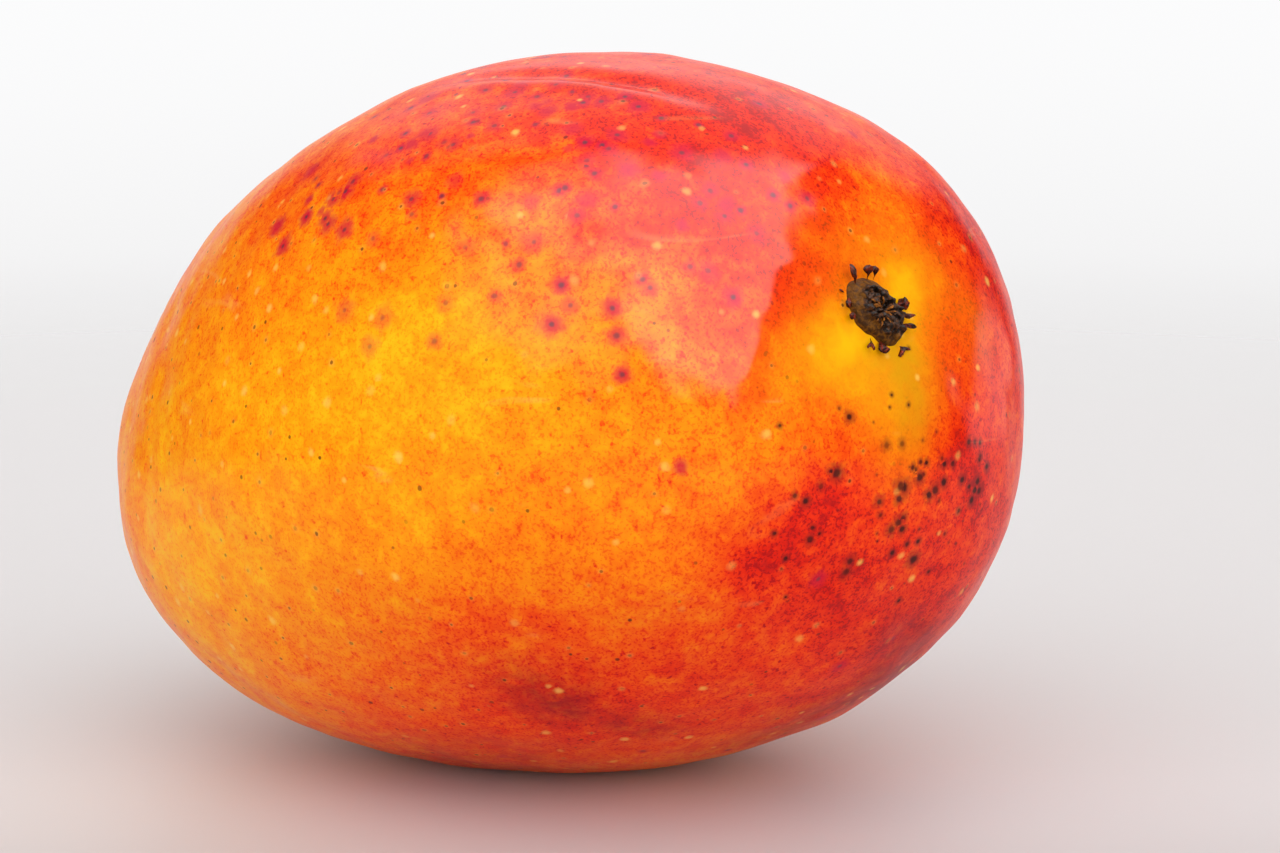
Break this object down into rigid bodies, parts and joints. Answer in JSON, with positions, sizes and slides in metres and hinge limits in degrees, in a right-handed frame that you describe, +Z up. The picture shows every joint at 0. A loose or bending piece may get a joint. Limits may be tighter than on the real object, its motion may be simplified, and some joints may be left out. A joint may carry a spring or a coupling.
{
  "type": "mango",
  "caption": "Ripe mango, a plump egg-shaped fruit lying on its flatter cheek, with the corky scar of its broken stalk and dried sepal scales round it.",
  "frame": {"origin": "on the surface the fruit lies on, under the middle of its bounding box", "axes": "+X along the fruit towards the stem end, +Y across its cheeks, +Z up out of the surface"},
  "size_m": [0.1138, 0.0944, 0.0856],
  "materials": {
    "skin": "waxy mango skin, orange-yellow blushed red, with fine dark freckles, semi-gloss",
    "cork": "dry dark brown cork, rough and cracked",
    "sepal": "dried dark red-brown husk with a slight sheen"
  },
  "bodies": {
    "root": {"fruit": "skin", "stem_stub": "cork", "sepal_scale_1": "sepal", "sepal_scale_2": "sepal", "sepal_scale_3": "sepal", "sepal_scale_4": "sepal", "sepal_scale_5": "sepal", "sepal_scale_6": "sepal", "sepal_scale_7": "sepal", "sepal_scale_8": "sepal", "sepal_scale_9": "sepal", "sepal_scale_10": "sepal", "sepal_scale_11": "sepal", "sepal_scale_12": "sepal"}
  },
  "joints": []
}
